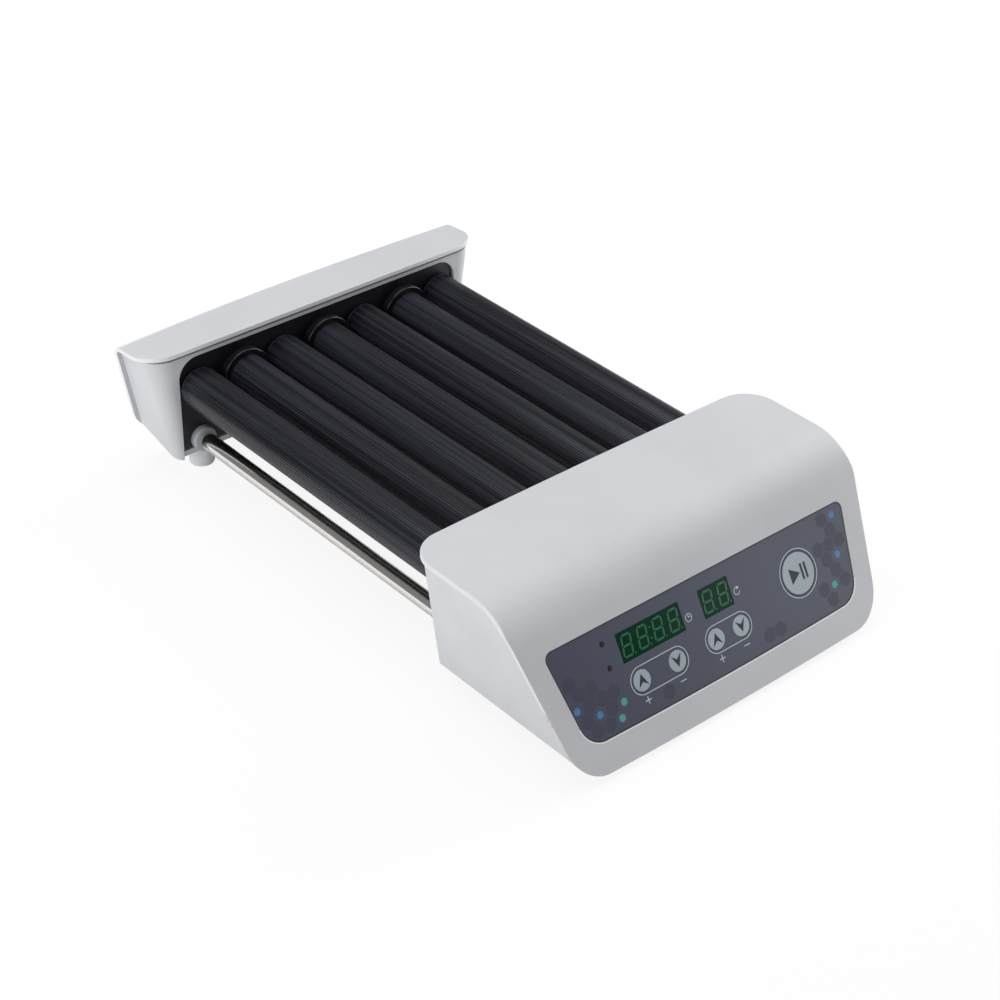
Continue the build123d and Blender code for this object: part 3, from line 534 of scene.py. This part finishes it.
def lay_print_or_painted_light(name, shapes, w, material, body, to_space=on_face, rise=MARK_RISE):
    """Ink shapes, or strips of painted shade and highlight, laid on a surface at height w, as one thin piece."""
    points, faces = [], []
    for shape in shapes:
        first = len(points)
        count = len(shape)
        points += [to_space(u, v, w + rise) for u, v in shape]
        points += [to_space(u, v, w - MARK_SUNK) for u, v in shape]
        faces.append(list(range(first, first + count)))
        for i in range(count):
            j = (i + 1) % count
            faces.append([first + j, first + i, first + count + i, first + count + j])
    mesh = bpy.data.meshes.new(name)
    mesh.from_pydata(points, [], faces)
    mesh.update()
    mesh.materials.append(material)
    piece = bpy.data.objects.new(name, mesh)
    bpy.context.scene.collection.objects.link(piece)
    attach(piece, body)
    return piece


def dot(cx, cy):
    """Small round point of a display."""
    return arc(cx, cy, POINT_RADIUS, 0, 360, POINT_STEPS)[:-1]


def segment_shapes(cx, cy):
    """Seven segments of one digit, slanted to the right, and its decimal point."""
    half_w, half_h, s, gap = DIGIT_WIDE / 2, DIGIT_TALL / 2, DIGIT_STROKE / 2, SEGMENT_GAP

    def across(y):
        x0, x1 = -half_w + s + gap, half_w - s - gap
        return [(x0, y), (x0 + s, y + s), (x1 - s, y + s), (x1, y), (x1 - s, y - s), (x0 + s, y - s)]

    def upright(x, y0, y1):
        y0, y1 = y0 + gap, y1 - gap
        return [(x, y0), (x + s, y0 + s), (x + s, y1 - s), (x, y1), (x - s, y1 - s), (x - s, y0 + s)]

    side, top = half_w - s, half_h - s
    shapes = [across(top), across(0), across(-top)]
    for x in (-side, side):
        shapes += [upright(x, 0, top), upright(x, -top, 0)]
    shapes.append(dot(half_w + POINT_GAP * POINT_RADIUS, -top))
    lean = math.tan(DIGIT_SLANT)
    return [[(cx + x + lean * y, cy + y) for x, y in shape] for shape in shapes]


def digits(name, node, count, colon):
    """Unlit digits in a display window."""
    u, v, w = middle(node)
    shapes = []
    for k in range(count):
        shapes += segment_shapes(u + (k - (count - 1) / 2) * DIGIT_PITCH, v)
    if colon:
        for rise in (-COLON_RISE * DIGIT_TALL, COLON_RISE * DIGIT_TALL):
            shapes.append(dot(u + math.tan(DIGIT_SLANT) * rise, v + rise))
    lay_print_or_painted_light(name, shapes, w, segment_ink, "base")


digits("time_digits", "time_display", 4, True)
digits("rpm_digits", "rpm_display", 2, False)


def glyph(name, key, up):
    """Arrowhead on a small key."""
    u, v, w = middle(key)
    way = 1 if up else -1
    tip, foot = KEY_GLYPH_TALL / 2 * way, -KEY_GLYPH_TALL / 2 * way
    shape = [
        (u, v + tip),
        (u - KEY_GLYPH_HALF * way, v + foot),
        (u, v + foot + KEY_GLYPH_NOTCH * way),
        (u + KEY_GLYPH_HALF * way, v + foot),
    ]
    lay_print_or_painted_light(name, [shape], w, dark_ink, key)


for key in ("key_time_up", "key_rpm_up"):
    glyph(key + "_mark", key, True)
for key in ("key_time_down", "key_rpm_down"):
    glyph(key + "_mark", key, False)

start_u, start_v, start_w = middle("key_start")
mark_low, mark_high = start_v - START_MARK_HALF, start_v + START_MARK_HALF
play = [(start_u - PLAY_BACK, mark_low), (start_u + PLAY_TIP, start_v),
        (start_u - PLAY_BACK, mark_high)]
pause = [bar(start_u + x, mark_low, start_u + x + PAUSE_WIDE, mark_high) for x in PAUSE_STARTS]
lay_print_or_painted_light("key_start_mark", [play] + pause, start_w, dark_ink, "key_start")

# Lines round the keys, signs below them
film_high = face_box("fascia_panel")[1]
film_top, film_w = film_high.y, film_high.z
lines, dark_fills = [], []
for left_key, right_key in (("key_time_up", "key_time_down"), ("key_rpm_up", "key_rpm_down")):
    left_u, left_v = middle(left_key)[:2]
    right_u = middle(right_key)[0]
    for inset in (0.0, LOOP_GAP):
        width = LOOP_LINE if inset == 0.0 else 0.5 * LOOP_LINE
        outer = stadium(left_u, right_u, left_v, LOOP_RADIUS - inset + width / 2)
        inner = stadium(left_u, right_u, left_v, LOOP_RADIUS - inset - width / 2)
        (lines if inset == 0.0 else dark_fills).extend(band(outer, inner))
    sign_v = left_v - SIGN_DROP
    lines.append(bar(left_u - SIGN_HALF, sign_v - SIGN_STROKE / 2,
                     left_u + SIGN_HALF, sign_v + SIGN_STROKE / 2))
    for way in (-1, 1):
        lines.append(bar(left_u - SIGN_STROKE / 2, sign_v + way * SIGN_STROKE / 2,
                         left_u + SIGN_STROKE / 2, sign_v + way * SIGN_HALF))
    lines.append(bar(right_u - SIGN_HALF, sign_v - SIGN_STROKE / 2,
                     right_u + SIGN_HALF, sign_v + SIGN_STROKE / 2))
lines += ring(start_u, start_v, START_RING_RADIUS, LOOP_LINE)
dark_fills += ring(start_u, start_v, START_RING_RADIUS - START_SHADE_IN, START_SHADE_LINE)

# Small clock and turning-arrow symbols beside the two displays
time_low, time_high = face_box("time_display")
clock_u = time_high.x + CLOCK_GAP
clock_v = (time_low.y + time_high.y) / 2 - CLOCK_DROP
hand_left, hand_right = clock_u - CLOCK_HAND_HALF, clock_u + CLOCK_HAND_HALF
lines += ring(clock_u, clock_v, CLOCK_RADIUS, CLOCK_LINE)
lines.append(bar(hand_left, clock_v, hand_right, clock_v + CLOCK_HAND_UP))
lines.append(bar(hand_right, clock_v, clock_u + CLOCK_HAND_ACROSS, clock_v + CLOCK_LINE))
rpm_high = face_box("rpm_display")[1]
turn_u, turn_v = rpm_high.x + TURN_GAP, clock_v + TURN_RISE
outer = arc(turn_u, turn_v, TURN_RADIUS + TURN_LINE / 2, TURN_START, TURN_END)
inner = arc(turn_u, turn_v, TURN_RADIUS - TURN_LINE / 2, TURN_START, TURN_END)
lines += band(outer, inner, closed=False)
lines.append([(turn_u + x, turn_v + y) for x, y in TURN_HEAD])
lay_print_or_painted_light("panel_lines", lines, film_w, line_ink, "base")
lay_print_or_painted_light("panel_shades", dark_fills, film_w, tile_ink, "base")


def inset_loop(loop, depth):
    """Closed convex loop moved inwards by depth, counter-clockwise."""
    moved = []
    count = len(loop)
    for i in range(count):
        ahead_step = (loop[(i + 1) % count] - loop[i]).normalized()
        back_step = (loop[i] - loop[i - 1]).normalized()
        inward = (Vector((-ahead_step.y, ahead_step.x)) + Vector((-back_step.y, back_step.x)))
        moved.append(loop[i] + inward.normalized() * depth)
    return moved


def hexagon(cx, cy, radius):
    """Six-sided tile standing on a corner."""
    return arc(cx, cy, radius, 30, 390, 6)[:-1]


def honeycomb(name, cells, radius, material):
    """Tiles at grid cells of the honeycomb, given as column, row."""
    shapes = []
    for column, row in cells:
        u = (column + 0.5 * (row % 2)) * TILE_STEP
        v = film_top - (row + TILE_FIRST_ROW) * TILE_ROW_STEP
        shapes.append(hexagon(u, v, radius))
    lay_print_or_painted_light(name, shapes, film_w, material, "base", rise=TILE_RISE)


# Painted highlight on the lower edge of the pocket round the panel, and painted shade along the panel's own edge,
# where the gap round it lies in shade
flat = [Vector((vertex.co.dot(FACE_ACROSS), vertex.co.dot(FACE_UP)))
        for vertex in nodes["fascia_panel"].data.vertices]
rim_loop = [flat[i] for i in convex_hull_2d(flat)]
turning = sum(rim_loop[i - 1].cross(rim_loop[i]) for i in range(len(rim_loop)))
if turning < 0:
    rim_loop.reverse()
pocket_highlight_band = band(inset_loop(rim_loop, -POCKET_HIGHLIGHT_GAP - POCKET_HIGHLIGHT_WIDE), inset_loop(rim_loop, -POCKET_HIGHLIGHT_GAP))
cover_w = face_box("control_cover")[1].z
middle_v = sum(spot.y for spot in rim_loop) / len(rim_loop)
lower_highlight_band = [quad for quad in pocket_highlight_band if max(spot[1] for spot in quad) < middle_v]
lay_print_or_painted_light("pocket_highlight_line", lower_highlight_band, cover_w, pocket_highlight_paint, "base")
lay_print_or_painted_light("panel_gap_shade", band(rim_loop, inset_loop(rim_loop, GAP_SHADE_WIDE)), film_w, gap_shade_paint, "base")

# Generic honeycomb print in the lower left and along the right end of the panel
honeycomb("tiles_dark", TILE_CELLS, TILE_RADIUS, tile_ink)
honeycomb("tiles_blue", BLUE_CELLS, BRIGHT_RADIUS, blue_ink)
honeycomb("tiles_teal", TEAL_CELLS, BRIGHT_RADIUS, teal_ink)


def roof_z(y):
    """Height of the far cover's sloping top."""
    return COVER_TOP - COVER_FALL * (y - COVER_EDGE_Y) / COVER_DEEP


# Far cover: a thin sheet with a rolled rim, wide inner corners and a bend at its bowed outer side
def cover_rows():
    """(half width, distance along the roof, bend angle, drop below the bend) of each row."""
    rows = []
    steep = math.radians(90)
    for i in range(COVER_ARC_STEPS + 1):
        turn_angle = steep * i / COVER_ARC_STEPS
        rows.append((COVER_HALF - COVER_INNER_R * (1 - math.sin(turn_angle)),
                     COVER_INNER_R * (1 - math.cos(turn_angle)), 0.0, 0.0))
    flat_long = COVER_ROOF_LONG - COVER_INNER_R
    for i in range(1, COVER_FLAT_STEPS + 1):
        rows.append((COVER_HALF, COVER_INNER_R + flat_long * i / COVER_FLAT_STEPS, 0.0, 0.0))
    for i in range(1, COVER_ARC_STEPS + 1):
        turn_angle = steep * i / COVER_ARC_STEPS
        fallen = COVER_BEND_R * (1 - math.cos(turn_angle))
        rows.append((COVER_HALF - COVER_LEAN * fallen, COVER_ROOF_LONG, turn_angle, 0.0))
    narrow = rows[-1][0]
    straight = COVER_WALL_TALL - COVER_LOW_R
    for i in range(1, COVER_WALL_STEPS + 1):
        drop = straight * i / COVER_WALL_STEPS
        rows.append((narrow - COVER_LEAN * drop, COVER_ROOF_LONG, steep, drop))
    side = rows[-1][0]
    for i in range(1, COVER_ARC_STEPS + 1):
        turn_angle = COVER_LOW_TURN * i / COVER_ARC_STEPS
        drop = straight + COVER_LOW_R * math.sin(turn_angle)
        shrink = COVER_LOW_R * (1 - math.cos(turn_angle))
        rows.append((side - shrink - COVER_LEAN * (drop - straight), COVER_ROOF_LONG, steep, drop))
    return rows


def far_cover():
    """Build the far cover sheet from its rows of points and put it in the cap cover's place."""
    points, faces = [], []
    rows = cover_rows()
    across = COVER_COLUMNS + 1
    for half, along, bend, drop in rows:
        for i in range(across):
            x = half * (2 * i / COVER_COLUMNS - 1)
            bow = COVER_BOW * (x / COVER_HALF) ** 2
            roof = along * (COVER_ROOF_LONG - bow) / COVER_ROOF_LONG
            y = COVER_EDGE_Y + roof + COVER_BEND_R * math.sin(bend)
            z = roof_z(y) - COVER_BEND_R * (1 - math.cos(bend)) - drop
            points.append((x, y, z))
    for row in range(len(rows) - 1):
        for i in range(COVER_COLUMNS):
            start = row * across + i
            faces.append((start, start + 1, start + 1 + across, start + across))
    mesh = bpy.data.meshes.new("far_cover_sheet")
    mesh.from_pydata(points, [], faces)
    mesh.update()
    mesh.materials.append(far_paint)
    # Its rim faces take the lighter colour of the painted highlight
    mesh.materials.append(rim_highlight_paint)
    mesh.shade_smooth()
    piece = bpy.data.objects.new("far_cover_sheet", mesh)
    bpy.context.scene.collection.objects.link(piece)
    shell = piece.modifiers.new("sheet", "SOLIDIFY")
    shell.thickness = COVER_THICK
    shell.offset = -1.0
    shell.material_offset_rim = 1
    rolled = piece.modifiers.new("rolled_rim", "BEVEL")
    rolled.width = COVER_RIM_R
    rolled.segments = COVER_RIM_STEPS
    rolled.limit_method = "ANGLE"
    rolled.angle_limit = COVER_RIM_ANGLE
    even = piece.modifiers.new("even_shading", "WEIGHTED_NORMAL")
    even.keep_sharp = False
    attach(piece, "base")
    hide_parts("cap_cover")


far_cover()


def below_roof(place, depth, off):
    """Point of the far body's wall: place along the painted shadow strip's path, depth below the cover sheet."""
    whole = int(place)
    start, end = shadow_strip_path[whole], shadow_strip_path[min(whole + 1, len(shadow_strip_path) - 1)]
    spot = start.lerp(end, place - whole)
    out = Vector((end.y - start.y, start.x - end.x)).normalized() * off
    return Vector((spot.x + out.x, spot.y + out.y, roof_z(spot.y) - COVER_THICK - depth))


def beside_wall(side):
    """Mapping from (y, depth) to the leaning side wall on one side, for printed()."""
    def place(y, depth, off):
        x = SHADOW_STRIP_HALF - COVER_LEAN * depth + off
        return Vector((side * x, y, roof_z(y) - COVER_THICK - depth))
    return place


# Painted shadow: a mid-grey strip under the far cover's rim round the body's front and corners, and an upright
# strip down each side, where the sheet's overhang shades the body
corner_x, corner_y = SHADOW_STRIP_HALF - SHADOW_STRIP_CORNER_R, SHADOW_STRIP_FRONT_Y + SHADOW_STRIP_CORNER_R
shadow_strip_path = [Vector((-SHADOW_STRIP_HALF, SHADOW_STRIP_BACK_Y))]
shadow_strip_path += [Vector(spot) for spot in arc(-corner_x, corner_y, SHADOW_STRIP_CORNER_R, 180, 270)]
shadow_strip_path += [Vector(spot) for spot in arc(corner_x, corner_y, SHADOW_STRIP_CORNER_R, 270, 360)]
shadow_strip_path.append(Vector((SHADOW_STRIP_HALF, SHADOW_STRIP_BACK_Y)))
shadow_strips = [bar(k, 0.0, k + 1, SHADOW_STRIP_TALL) for k in range(len(shadow_strip_path) - 1)]
lay_print_or_painted_light("cover_painted_shadow", shadow_strips, 0.0, painted_shadow_grey, "base", to_space=below_roof)
for side, side_name in ((-1, "left"), (1, "right")):
    upright = [bar(SHADOW_STRIP_BACK_Y - SHADOW_STRIP_WIDE, 0.0, SHADOW_STRIP_BACK_Y, COVER_WALL_TALL - COVER_LOW_R)]
    lay_print_or_painted_light(side_name + "_cover_painted_shadow", upright, 0.0, painted_shadow_grey, "base",
            to_space=beside_wall(side))

# Floor and backdrop in one pale sheet
bpy.ops.mesh.primitive_plane_add(size=FLOOR_SIZE, location=(0, 0, 0))
floor = bpy.context.object
floor.name = "floor"
floor_shader = Shader("floor_pale")
floor_shader.colour(srgb(250, 250, 250))
floor_shader.rough(FLOOR_ROUGH)
shine = floor_shader.node("ShaderNodeEmission")
shine.inputs["Color"].default_value = WHITE
path = floor_shader.node("ShaderNodeLightPath")
seen = floor_shader.math("MULTIPLY", path.outputs["Is Camera Ray"], FLOOR_GLOW)
blend_node = floor_shader.node("ShaderNodeMixShader")
floor_shader.link(seen, blend_node.inputs["Fac"])
floor_shader.link(floor_shader.main.outputs["BSDF"], blend_node.inputs[1])
floor_shader.link(shine.outputs["Emission"], blend_node.inputs[2])
output = floor_shader.tree.nodes["Material Output"]
floor_shader.link(blend_node.outputs["Shader"], output.inputs["Surface"])
floor.data.materials.append(floor_shader.material)

world = bpy.data.worlds.new("studio")
world.use_nodes = True
world.node_tree.nodes["Background"].inputs["Color"].default_value = WHITE
world.node_tree.nodes["Background"].inputs["Strength"].default_value = WORLD_STRENGTH
bpy.context.scene.world = world


def soft_light(name, place, aim, size, power):
    """Large square area light at place, facing aim."""
    data = bpy.data.lights.new(name, "AREA")
    data.shape = "SQUARE"
    data.size = size
    data.energy = power
    lamp = bpy.data.objects.new(name, data)
    lamp.location = place
    lamp.rotation_mode = "QUATERNION"
    lamp.rotation_quaternion = (Vector(aim) - Vector(place)).to_track_quat("-Z", "Y")
    bpy.context.scene.collection.objects.link(lamp)


soft_light("top_box", (0.0, 0.25, 1.5), LIGHT_AIM, 1.3, 12.5)
soft_light("left_box", (-1.5, 0.0, 0.7), LIGHT_AIM, 1.1, 14.0)
soft_light("right_box", (1.5, 0.0, 0.7), LIGHT_AIM, 1.1, 17.0)
soft_light("near_right_box", (0.6, -0.75, 0.2), (0.1, -0.2, 0.06), 0.35, 0.6)
soft_light("back_box", (0.2, 1.7, 0.22), (0.0, 0.2, 0.05), 0.7, 7.0)

# Camera
azimuth = math.radians(CAMERA_AZIMUTH)
elevation = math.radians(CAMERA_ELEVATION)
roll = math.radians(CAMERA_ROLL)
back = Vector((math.sin(azimuth) * math.cos(elevation),
               -math.cos(azimuth) * math.cos(elevation), math.sin(elevation)))
ahead = -back
level = ahead.cross(Vector((0, 0, 1))).normalized()
down = ahead.cross(level)
right = level * math.cos(roll) + down * math.sin(roll)
low = down * math.cos(roll) - level * math.sin(roll)
camera_data = bpy.data.cameras.new("camera")
camera_data.lens = CAMERA_LENS
camera_data.sensor_width = SENSOR
camera = bpy.data.objects.new("camera", camera_data)
turn = Matrix((right, -low, back)).transposed()
camera.matrix_world = Matrix.Translation(CAMERA_PLACE) @ turn.to_4x4()
bpy.context.scene.collection.objects.link(camera)
bpy.context.scene.camera = camera
bpy.context.scene.view_settings.view_transform = "Standard"
